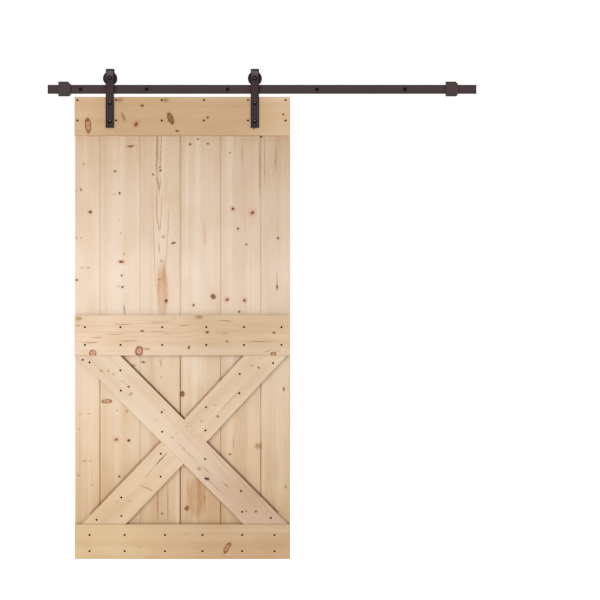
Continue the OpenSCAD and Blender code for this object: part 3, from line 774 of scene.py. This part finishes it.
@dataclass
class PlankDoor:
    """The door panel: six planks, three rails and a crossed brace."""

    corner: Vector = field(default_factory=lambda: upper_left("plank_1"))
    brace_width: float = 0.145
    lean_upper: float = math.radians(43.2)
    lean_lower: float = math.radians(44.0)
    lean_long: float = math.radians(135)

    def boards(self) -> list[Board]:
        """Lists the planks and rails with their tones.

        Returns:
            The boards, tones from bottom to top on planks and from left to right on rails.
        """
        level = math.radians(90)
        boards = [
            Board(f"plank_{i + 1}", 0.0, self._faded(i), PLANK_STOPS, 1.7 + 2.3 * i)
            for i in range(PLANK_COUNT)
        ]
        ends, belly = (212, 180, 145), (200, 168, 130)
        top = (ends, belly, belly, ends)
        middle = ((235, 208, 180), (216, 188, 156))
        bottom = ((222, 194, 155), (202, 170, 134))
        boards.append(Board("top_rail", level, top, (0.05, 0.20, 0.82, 0.96), 21.1, 0.16, 0.36))
        boards.append(Board("mid_rail", level, middle, (0.15, 0.60), 24.9, 0.36, 0.36))
        boards.append(Board("bottom_rail", level, bottom, (0.20, 0.65), 27.3, 0.20, 0.30))
        return boards

    @staticmethod
    def _faded(number: int) -> tuple[Colour, ...]:
        """The planks' tones, a little darker on each plank to the right as painted light falloff."""
        light = PLANK_LIGHT - PLANK_FALLOFF * number
        return tuple(tuple(channel * light for channel in tone) for tone in PLANK_TONES)

    def braces(self) -> list[tuple[Board, Vector, float]]:
        """Lists the braces with the middle of their centrelines and their lengths.

        Returns:
            For each brace its board, centre and length.
        """
        low, high = box_of("brace_long")
        length = (high.z - low.z) * math.sqrt(2)
        long_tones = ((232, 210, 186), (204, 176, 150))
        upper_tones = ((226, 200, 172), (220, 194, 164))
        lower_tones = ((222, 194, 160), (228, 202, 172))
        long_board = Board("brace_long", self.lean_long, long_tones, (0.42, 0.88), 31.3)
        upper = Board("brace_upper", self.lean_upper, upper_tones, (0.30, 0.92), 34.7)
        lower = Board("brace_lower", self.lean_lower, lower_tones, (0.08, 0.45), 38.1)
        return [
            (long_board, self.at(495.5, 1581.5), length),
            (upper, self.at(517.5, 1581.5), length),
            (lower, self.at(508, 1581.5), length),
        ]

    def at(self, right: float, down: float) -> Vector:
        """A point on the door, in millimetres from its upper left corner."""
        return self.corner + Vector((right, 0, -down)) * MM

    def lines(self) -> tuple[PaintedShadingLine, ...]:
        """The lines of painted shade and painted light along the boards' edges.

        Returns:
            The lines, first the two along rails that the braces wear as well.
        """
        found = []
        pale, grey_brown, dark_brown, orange = (
            (1.30, 1.27, 1.22),
            (0.34, 0.25, 0.18),
            (0.30, 0.21, 0.15),
            (0.74, 0.50, 0.32),
        )
        # Painted shade under the middle rail and above the bottom rail; painted light under the top rail,
        # where its shadow falls
        for rail, turn, reach, strength, tint in (
            ("mid_rail", 270, 0.010, 0.12, SHADE_BROWN),
            ("bottom_rail", 90, 0.010, 0.38, SHADE_BROWN),
            ("top_rail", 270, 0.014, 1.0, pale),
        ):
            low, high = box_of(rail)
            middle = (low + high) / 2
            half, end = (high.z - low.z) / 2, (high.x - low.x) / 2
            found.append(PaintedShadingLine(middle, math.radians(turn), half, -end, end, reach, strength, tint))
        (_, crossing, length), (_, upper, _), (_, lower, _) = self.braces()
        half, end = self.brace_width / 2, length / 2
        far_side = self.lean_long + math.pi
        # Painted shade along the upper edges of the braces; the last line is an orange-brown band along the
        # long brace's lower-left edge
        found += [
            PaintedShadingLine(upper, self.lean_upper, half, 0.08, end, 0.012, 0.65),
            PaintedShadingLine(lower, self.lean_lower, half, -end, -0.08, 0.012, 0.65),
            PaintedShadingLine(crossing, self.lean_long, half, -end, 0.0, 0.011, 1.0, dark_brown),
            PaintedShadingLine(crossing, self.lean_long, half, 0.0, end, 0.010, 0.8, grey_brown),
            PaintedShadingLine(crossing, far_side, half, -0.42, -0.08, 0.013, 0.8, orange),
        ]
        return tuple(found)

    @staticmethod
    def seams(start: float, end: float) -> tuple[tuple[float, float], ...]:
        """The joints at a plank's two edges.

        Args:
            start: Where the plank starts along X.
            end: Where it ends.

        Returns:
            Where each joint lies along X, and how brown it is above the middle rail.
        """
        shares = (0.0, 0.05, 0.45, 0.0, 0.08)
        joints = ((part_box(f"plank_{number + 2}")[0][0], share) for number, share in enumerate(shares))
        return tuple(joint for joint in joints if start - 0.01 < joint[0] < end + 0.01)

    def dress(self) -> None:
        """Gives every board its own pine."""
        lines = self.lines()
        for board in self.boards():
            low, high = box_of(board.node)
            upright = board.turn == 0.0
            marks = PLANK_MARKS if upright else RAIL_MARKS[board.node]
            left = (low.x - self.corner.x) / MM - MARK_MARGIN
            right = (high.x - self.corner.x) / MM + MARK_MARGIN
            own = tuple(mark for mark in marks if left < mark.right < right)
            finish = PineFinish(
                name=f"pine_{board.node}",
                centre=Vector(((low.x + high.x) / 2, (low.y + high.y) / 2, (low.z + high.z) / 2)),
                turn=board.turn,
                length=high.z - low.z if upright else high.x - low.x,
                tones=tuple(zip(board.stops, board.tones)),
                marks=own,
                corner=self.corner,
                seed=board.seed,
                lines=lines if upright else (),
                arches=tuple(arch for arch in ARCHES if upright and left < arch.right < right),
                seams=self.seams(low.x, high.x) if upright else (),
                ring_show=board.ring_show,
                band_show=board.band_show,
            )
            dress([board.node], finish.material())
        for board, middle, length in self.braces():
            finish = PineFinish(
                name=f"pine_{board.node}",
                centre=middle,
                turn=board.turn,
                length=length,
                tones=tuple(zip(board.stops, board.tones)),
                marks=BRACE_MARKS[board.node],
                corner=self.corner,
                seed=board.seed,
                # The braces also wear the painted shade under the middle rail and above the bottom rail
                lines=lines[:2],
                rings=85.0,
            )
            dress([board.node], finish.material())


def marks(kind: MarkKind, *places: tuple[float, ...]) -> tuple[Mark, ...]:
    """Makes marks of one kind.

    Args:
        kind: Their kind.
        places: For each mark how far right and down it lies, its width, height and any tilt.

    Returns:
        The marks.
    """
    return tuple(Mark(*place, kind=kind) for place in places)


ARCHES = (
    Arches(770, 1500, 80, 380, 130, 9, 0.15),
    Arches(560, 1850, 100, 200, 70, 6, 0.30),
    Arches(905, 420, 60, 460, 150, 12, 0.12),
)

PLANK_MARKS = (
    *marks(
        MarkKind.DEAD_KNOT, (28, 427, 8, 8), (70, 531, 15, 11, 8), (7, 845, 12, 8), (186, 342, 11, 8),
        (257, 226, 28, 8, -6), (206, 443, 8, 11), (216, 824, 8, 9), (220, 878, 8, 9), (249, 1588, 12, 10),
        (205, 1753, 9, 8), (360, 356, 9, 9), (393, 323, 6, 6), (396, 338, 9, 7), (455, 674, 18, 8, -20),
        (422, 942, 14, 13), (316, 1226, 14, 7), (403, 1925, 9, 9), (533, 219, 11, 9), (568, 192, 9, 8),
        (615, 216, 8, 7), (549, 961, 8, 12, 35), (718, 257, 6, 6), (754, 607, 9, 9), (792, 680, 7, 7),
        (759, 992, 8, 9), (716, 1651, 9, 9), (861, 182, 11, 8), (939, 653, 9, 10), (934, 877, 8, 15),
        (966, 1350, 7, 16),
    ),
    *marks(
        MarkKind.PINK_KNOT, (214, 761, 18, 10), (191, 1583, 14, 12), (729, 516, 13, 14), (821, 534, 14, 14),
        (703, 935, 13, 12), (784, 939, 11, 12),
    ),
    *marks(MarkKind.LIVE_KNOT, (146, 1406, 46, 17)),
    *marks(MarkKind.DARK_KNOT, (639, 922, 22, 22), (497, 1373, 20, 23), (517, 1900, 19, 19)),
    *marks(
        MarkKind.SMUDGE, (40, 308, 14, 10, -20), (5, 436, 9, 8), (6, 650, 13, 14), (27, 650, 12, 10),
        (33, 789, 13, 15), (60, 788, 17, 12), (42, 845, 9, 7), (63, 1463, 20, 8), (22, 1466, 20, 7),
        (18, 1534, 9, 8), (43, 1681, 30, 9), (71, 1684, 10, 9), (15, 1749, 17, 11), (77, 1792, 16, 8),
        (183, 451, 15, 8), (206, 571, 13, 9), (211, 628, 9, 12), (227, 725, 12, 11), (201, 874, 14, 7, 20),
        (195, 1450, 10, 10), (240, 1452, 15, 13), (270, 1241, 32, 18, -20), (409, 645, 16, 16),
        (400, 757, 16, 18), (391, 842, 14, 16), (400, 1296, 9, 11), (665, 1308, 10, 12),
        (846, 1613, 32, 36), (851, 1615, 14, 24), (975, 1800, 12, 26),
    ),
    *marks(
        MarkKind.STREAK, (386, 850, 16, 220), (406, 830, 40, 170), (388, 270, 22, 330), (386, 330, 14, 220),
        (600, 634, 14, 170, -3), (517, 1905, 9, 80), (520, 1810, 16, 110), (772, 261, 14, 120),
    ),
    *marks(MarkKind.STAIN, (404, 900, 60, 300), (560, 1850, 84, 240)),
    *marks(MarkKind.CRACK, (228, 986, 6, 64, -8), (860, 1613, 6, 40)),
    *marks(
        MarkKind.GRAIN, (378, 255, 10, 330, 1), (398, 230, 6, 270, 1), (383, 400, 8, 90, -8),
        (393, 404, 6, 80, 7), (377, 500, 5, 190), (385, 588, 6, 80, -10), (399, 510, 5, 170, 2),
        (395, 588, 5, 80, 6), (366, 700, 4, 420, -2), (427, 660, 4, 420, 3), (389, 695, 7, 60, -6),
        (411, 800, 5, 120, 6), (394, 1228, 5, 54, -7), (401, 1228, 5, 54, 7), (383, 1880, 7, 200),
        (429, 1880, 7, 200), (600, 1850, 5, 180), (853, 330, 6, 320), (733, 1595, 6, 70),
        (934, 850, 5, 120), (928, 280, 6, 150), (877, 300, 4, 260),
    ),
)

RAIL_MARKS = {
    "top_rail": (
        *marks(
            MarkKind.DEAD_KNOT, (313, 41, 11, 7, 25), (475, 157, 14, 9, 10), (615, 94, 8, 8),
            (963, 81, 8, 8), (828, 146, 8, 8),
        ),
        *marks(MarkKind.PINK_KNOT, (284, 127, 13, 18, 30)),
        *marks(MarkKind.LIVE_KNOT, (62, 133, 26, 66, -4)),
        *marks(MarkKind.DARK_KNOT, (443, 99, 24, 50, -22)),
        *marks(
            MarkKind.SMUDGE, (210, 15, 34, 24), (311, 40, 26, 20, 25), (420, 16, 34, 22),
            (225, 92, 20, 54, -24),
        ),
    ),
    "mid_rail": (
        *marks(
            MarkKind.DEAD_KNOT, (312, 1081, 11, 7), (613, 1087, 12, 8), (921, 1089, 8, 6),
            (527, 1156, 9, 14, 25), (704, 1129, 8, 7),
        ),
        *marks(MarkKind.LIVE_KNOT, (84, 1184, 30, 30), (298, 1173, 34, 42, 8), (918, 1187, 22, 20)),
        *marks(
            MarkKind.SMUDGE, (20, 1023, 38, 24), (312, 1081, 22, 13), (334, 1164, 40, 14, 8),
            (575, 1016, 44, 22), (573, 1015, 26, 13), (612, 1086, 26, 17), (919, 1088, 22, 12),
            (460, 1026, 13, 7),
        ),
        *marks(MarkKind.STREAK, (702, 1084, 165, 7, -3)),
        *marks(
            MarkKind.GRAIN, (17, 1055, 24, 5), (218, 1051, 100, 5, 1), (190, 1096, 112, 4, -1),
            (106, 1112, 54, 5), (71, 1134, 80, 6), (250, 1127, 98, 5, -1), (391, 1042, 130, 4),
            (386, 1083, 92, 4), (425, 1095, 60, 4), (505, 1055, 60, 5), (699, 1034, 70, 7, 2),
            (693, 1092, 46, 5), (857, 1129, 180, 5), (893, 1172, 42, 6, -18), (938, 1172, 30, 5, 18),
        ),
    ),
    "bottom_rail": (
        *marks(MarkKind.LIVE_KNOT, (704, 2082, 20, 56, 30)),
        *marks(MarkKind.SMUDGE, (300, 2080, 9, 8), (515, 2020, 9, 9)),
    ),
}

BRACE_MARKS = {
    "brace_long": (
        *marks(
            MarkKind.DEAD_KNOT, (250, 1338, 11, 10), (613, 1764, 15, 14), (791, 1911, 7, 7),
            (837, 1914, 10, 9),
        ),
        *marks(
            MarkKind.SMUDGE, (123, 1264, 18, 13), (124, 1264, 9, 7), (156, 1266, 14, 12),
            (179, 1280, 15, 12), (260, 1371, 24, 17, -20), (262, 1372, 12, 9, -20), (413, 1446, 10, 9),
            (379, 1488, 10, 8), (471, 1552, 9, 9), (452, 1573, 18, 8), (518, 1519, 10, 9),
            (575, 1717, 24, 18, 40),
        ),
        *marks(MarkKind.CRACK, (700, 1793, 4, 60, -47)),
        *marks(
            MarkKind.GRAIN, (228, 1318, 4, 54, -50), (608, 1722, 5, 62, -42), (640, 1790, 4, 200, -45),
            (520, 1640, 4, 160, -45),
        ),
    ),
    "brace_upper": (
        *marks(MarkKind.DEAD_KNOT, (850, 1250, 9, 9), (660, 1475, 8, 8)),
        *marks(
            MarkKind.SMUDGE, (820, 1240, 15, 11), (857, 1207, 9, 8), (650, 1421, 10, 9),
            (587, 1494, 14, 9, -20),
        ),
        *marks(MarkKind.GRAIN, (720, 1400, 4, 180, 43)),
    ),
    "brace_lower": (
        *marks(MarkKind.SMUDGE, (200, 1868, 9, 8), (250, 1865, 9, 8)),
        *marks(MarkKind.CRACK, (397, 1675, 7, 100, 43)),
        *marks(MarkKind.GRAIN, (345, 1735, 4, 90, 43), (332, 1806, 78, 8, 22), (190, 1800, 4, 120, 43)),
    ),
}


# ---------------------------------------------------------------- hardware


@dataclass
class ThreadedRod:
    """A screw thread about an axis along Y."""

    centre: Vector
    start: float
    end: float
    radius: float
    pitch: float
    rise: float
    steps: int = 20
    sunk: float = 0.15 * MM

    def cut(self, shape: bmesh.types.BMesh) -> None:
        """Winds one ridge round the rod.

        Args:
            shape: The shape that the ridge is added to.
        """
        turns = (self.end - self.start - self.pitch) / self.pitch
        half = self.pitch * 0.36
        profile = []
        crest = half * 0.18
        outline = ((-self.sunk, -half), (self.rise, -crest), (self.rise, crest), (-self.sunk, half))
        for out, along in outline:
            reach = self.radius + out
            profile.append(shape.verts.new((self.centre.x + reach, self.start + half + along, self.centre.z)))
        edges = [shape.edges.new((a, b)) for a, b in zip(profile, profile[1:] + profile[:1])]
        count = max(2, round(turns * self.steps))
        bmesh.ops.spin(
            shape,
            geom=[*profile, *edges],
            cent=self.centre,
            axis=(0, 1, 0),
            dvec=(0, self.pitch / self.steps, 0),
            angle=-math.tau * count / self.steps,
            steps=count,
            use_merge=False,
            use_duplicate=False,
        )


@dataclass
class Track:
    """The flat bar, its lag bolts, spacers and end stops."""

    thread_rise: float = 0.00045
    pitch: float = 0.0032
    thread_start: float = 0.0035
    bare_shank: float = 0.010

    def build(self, coat: bpy.types.Material) -> None:
        """Winds a wood thread on each lag bolt's end.

        Args:
            coat: The threads' material.
        """
        shape = bmesh.new()
        end = box_of("lag_bolts")[1].y - self.bare_shank
        for mount in frame["record"]["mounts"]:
            if mount["kind"] != "pin":
                continue
            centre = Vector((mount["pos_m"][0], 0, mount["pos_m"][2]))
            radius = mount["dims"]["r_mm"] * MM
            ThreadedRod(centre, self.thread_start, end, radius, self.pitch, self.thread_rise).cut(shape)
        stand("lag_threads", shape, "track", coat)

    def dress(self, coat: bpy.types.Material, black: bpy.types.Material) -> None:
        """Dresses the track's nodes.

        Args:
            coat: The bronze coat of spacers and washers.
            black: The fasteners' black.
        """
        low, high = box_of("track_bar")
        bar = CoatFinish(
            name="bronze_track",
            colour=(70, 53, 55),
            edge_shade_colour=(44, 32, 35),
            # Painted shade along the bar's top and bottom and at its ends
            shades=(
                EdgeShade(2, (low.z + high.z) / 2, (high.z - low.z) / 2, 0.006),
                EdgeShade(0, (low.x + high.x) / 2, (high.x - low.x) / 2, 0.006),
            ),
        )
        dress(["track_bar"], bar.material())
        for name in ("end_stop_left", "end_stop_right"):
            low, high = box_of(name)
            middle, size = (low + high) / 2, high - low
            stop = CoatFinish(
                name=f"bronze_{name}",
                colour=(73, 58, 59),
                edge_shade_colour=(46, 34, 36),
                # Painted shade along the stop's top and bottom
                shades=(EdgeShade(2, middle.z, size.z / 2, 0.006),),
            )
            dress([name], stop.material())
        dress(["track_spacers", "lag_washers"], coat)
        dress(["lag_bolts", "end_stop_set_screws"], black)


AXLE_RADIUS = 0.006
BOLT_RADIUS = 0.005
# Where the snap ring starts about the axle, and how far round it reaches
RING_START = math.radians(75)
RING_SWEEP = math.radians(328)


@dataclass
class Hanger:
    """One hanger: strap, bolts, axle and wheel."""

    side: str
    strap_face: Colour = (60, 42, 45)

    def __post_init__(self) -> None:
        """Finds the axle."""
        low, high = box_of(f"wheel_{self.side}")
        self.axle = (low + high) / 2

    def build(self, black: bpy.types.Material, bright: bpy.types.Material) -> None:
        """Builds the snap ring that holds the bearing and the threads behind the nuts.

        Args:
            black: The fasteners' black.
            bright: Bare bearing steel.
        """
        low, high = box_of(f"bearing_outer_{self.side}")
        radius = (high.x - low.x) / 2
        shape = bmesh.new()
        corners = ((-1.5, -1.3), (-0.1, -1.3), (-0.1, -0.2), (-1.5, -0.2))
        section = []
        for x, y in corners:
            section.append(shape.verts.new((self.axle.x + radius + x * MM, low.y + y * MM, self.axle.z)))
        face = shape.faces.new(section)
        turn = Matrix.Rotation(RING_START, 3, "Y")
        bmesh.ops.rotate(shape, verts=section, cent=self.axle, matrix=turn)
        swept = bmesh.ops.spin(
            shape,
            geom=[face],
            cent=self.axle,
            axis=(0, 1, 0),
            dvec=(0, 0, 0),
            angle=RING_SWEEP,
            steps=72,
            use_merge=False,
            use_duplicate=False,
        )
        LOG.info("snap ring ends with %d parts", len(swept["geom_last"]))
        stand(f"snap_ring_{self.side}", shape, f"wheel_{self.side}", bright)

        shape = bmesh.new()
        nut_high = box_of(f"axle_nut_{self.side}")[1]
        bolt_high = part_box(f"axle_bolt_{self.side}")[1]
        fine = {"pitch": 0.0009, "rise": 0.0002, "steps": 24}
        ThreadedRod(self.axle, nut_high.y, bolt_high[1], AXLE_RADIUS, **fine).cut(shape)
        low, high = box_of(f"hanger_nuts_{self.side}")
        bolt_low, bolt_high = box_of(f"hanger_bolts_{self.side}")
        head = (bolt_high.x - bolt_low.x) / 2
        for height in (bolt_low.z + head, bolt_high.z - head):
            centre = Vector((self.axle.x, 0, height))
            ThreadedRod(centre, high.y, bolt_high.y, BOLT_RADIUS, **fine).cut(shape)
        stand(f"bolt_threads_{self.side}", shape, "door", black)

    def dress(self, coat: bpy.types.Material, black: bpy.types.Material) -> None:
        """Dresses the hanger's nodes.

        Args:
            coat: The wheel's bronze coat, a darker copy of it as painted shade.
            black: The fasteners' black.
        """
        low, high = box_of(f"hanger_strap_{self.side}")
        middle, size = (low + high) / 2, high - low
        top = 1 - 0.007 / size.z
        strap = CoatFinish(
            name=f"bronze_strap_{self.side}",
            colour=self.strap_face,
            edge_shade_colour=(34, 24, 27),
            # Painted shade along the strap's sides
            shades=(EdgeShade(0, middle.x, size.x / 2, 0.006),),
            # Painted shade and highlight: darker towards the foot, a painted highlight just under the bend
            # and painted shade along the top of the bend
            shading_ramp=(
                (0.0, (36, 32, 32)),
                (0.07, (54, 41, 46)),
                (0.62, self.strap_face),
                (top - 0.16, self.strap_face),
                (top - 0.03, (104, 84, 90)),
                (top, (52, 38, 42)),
                (1.0, (20, 14, 16)),
            ),
            low=low.z,
            high=high.z,
        )
        dress([f"hanger_strap_{self.side}"], strap.material())
        dress([f"wheel_{self.side}"], coat)
        # Painted highlight: a pale spot in the middle of the axle bolt's head
        socket = CoatFinish(
            name=f"black_axle_{self.side}",
            colour=(10, 6, 7),
            edge_shade_colour=(8, 5, 6),
            roughness=0.30,
            specular=0.07,
            glints=(self.axle,),
            glint_reach=0.0034,
            glint_colour=(165, 148, 150),
        )
        dress([f"axle_bolt_{self.side}"], socket.material())
        low, high = box_of(f"hanger_bolts_{self.side}")
        # Painted highlight: a pale spot a little above the middle of each button head
        head, lift = (high.x - low.x) / 2, 0.0035
        heads = tuple(Vector((self.axle.x, 0, z + lift)) for z in (low.z + head, high.z - head))
        button = CoatFinish(
            name=f"black_button_{self.side}",
            colour=(10, 6, 7),
            edge_shade_colour=(8, 5, 6),
            roughness=0.30,
            specular=0.07,
            glints=heads,
            glint_reach=0.0034,
            glint_colour=(168, 152, 160),
        )
        dress([f"hanger_bolts_{self.side}"], button.material())
        fasteners = ("hanger_washers", "hanger_nuts", "axle_nut")
        dress([f"{name}_{self.side}" for name in fasteners], black)
        steel = BareMetalFinish(f"ground_steel_{self.side}", (190, 190, 188), 0.28, self.axle)
        rings = ("axle_bushes", "bearing_inner", "bearing_outer", "bearing_balls", "bearing_shields")
        bright = steel.material()
        dress([f"{name}_{self.side}" for name in rings], bright)
        brass = BareMetalFinish(f"cage_brass_{self.side}", (188, 150, 84), 0.34, self.axle)
        dress([f"bearing_cage_{self.side}"], brass.material())
        self.build(black, bright)


# ---------------------------------------------------------------- studio


@dataclass
class Studio:
    """A plain pale floor, even white surroundings, one soft light from the upper left and the camera."""

    view_width: float = 2.769
    centre: Vector = field(default_factory=lambda: Vector((0.335, 0, -0.9737)))
    lens: float = 110.0
    sensor: float = 36.0
    clearance: float = 0.045
    floor_reach: float = 9.0
    surroundings: float = 1.02
    sun_energy: float = 1.16
    sun_spread: float = math.radians(34)
    sun_way: Vector = field(default_factory=lambda: Vector((0.42, 0.78, -0.20)))

    def floor(self) -> None:
        """Lays the floor just under the door."""
        low = CAD_BOX[0]
        shape = bmesh.new()
        bmesh.ops.create_grid(shape, x_segments=8, y_segments=8, size=self.floor_reach)
        bmesh.ops.translate(shape, verts=shape.verts, vec=(0.2, 0, low[2] - self.clearance))
        mesh = bpy.data.meshes.new("studio_floor")
        shape.to_mesh(mesh)
        shape.free()
        piece = bpy.data.objects.new("studio_floor", mesh)
        bpy.context.scene.collection.objects.link(piece)
        bench = Bench("pale_floor")
        place = bench.coordinates()
        mottle = bench.noise(place, 5.0, 3.0)
        colour = bench.blend((0.86, 0.86, 0.86, 1), (0.90, 0.90, 0.90, 1), mottle)
        glow = {"Specular IOR Level": 0.1, "Emission Color": (1, 1, 1, 1), "Emission Strength": 0.40}
        mesh.materials.append(bench.finish(colour, 0.7 + mottle * 0.1, mottle, 0.0001, glow))

    def lights(self) -> None:
        """Sets the white surroundings and the soft light."""
        world = bpy.data.worlds.new("white_surroundings")
        world.use_nodes = True
        backdrop = world.node_tree.nodes["Background"]
        backdrop.inputs["Color"].default_value = (1.0, 1.0, 1.0, 1.0)
        backdrop.inputs["Strength"].default_value = self.surroundings
        bpy.context.scene.world = world
        light = bpy.data.lights.new("soft_key", "SUN")
        light.energy = self.sun_energy
        light.angle = self.sun_spread
        lamp = bpy.data.objects.new("soft_key", light)
        lamp.rotation_mode = "QUATERNION"
        lamp.rotation_quaternion = self.sun_way.to_track_quat("-Z", "Y")
        bpy.context.scene.collection.objects.link(lamp)

    def camera(self) -> None:
        """Sets the camera square to the door's front."""
        view = bpy.context.scene.view_settings
        view.view_transform = "Standard"
        view.look = "None"
        data = bpy.data.cameras.new("front_camera")
        data.lens = self.lens
        data.sensor_width = self.sensor
        data.clip_end = 60
        camera = bpy.data.objects.new("front_camera", data)
        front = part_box("top_rail")[0][1]
        distance = self.view_width * self.lens / self.sensor
        camera.location = (self.centre.x, front - distance, self.centre.z)
        camera.rotation_euler = (math.radians(90), 0, 0)
        bpy.context.scene.collection.objects.link(camera)
        bpy.context.scene.camera = camera

    def build(self) -> None:
        """Builds the whole studio."""
        self.camera()
        self.floor()
        self.lights()


def main() -> None:
    """Builds and dresses the door, its hardware and the studio."""
    logging.basicConfig(level=logging.INFO)
    Studio().build()
    coat = CoatFinish("bronze_coat", (58, 44, 47), (40, 30, 32)).material()
    black = CoatFinish("black_fastener", (10, 6, 7), (8, 5, 6), 0.34, 0.05).material()
    screws = CoatFinish("black_screw", (4, 2, 1), (3, 1, 1), 0.6, 0.0).material()
    PlankDoor().dress()
    groups = ("top_rail", "mid_rail", "bottom_rail", "brace_long", "brace_upper", "brace_lower")
    dress([f"{name}_screws" for name in groups], screws)
    track = Track()
    track.build(black)
    track.dress(coat, black)
    # Painted shade: the wheel wears a darker copy of the bronze coat
    wheel = CoatFinish("shaded_bronze_wheel", (46, 34, 37), (34, 25, 27)).material()
    for side in ("left", "right"):
        Hanger(side).dress(wheel, black)


if __name__ == "__main__":
    main()
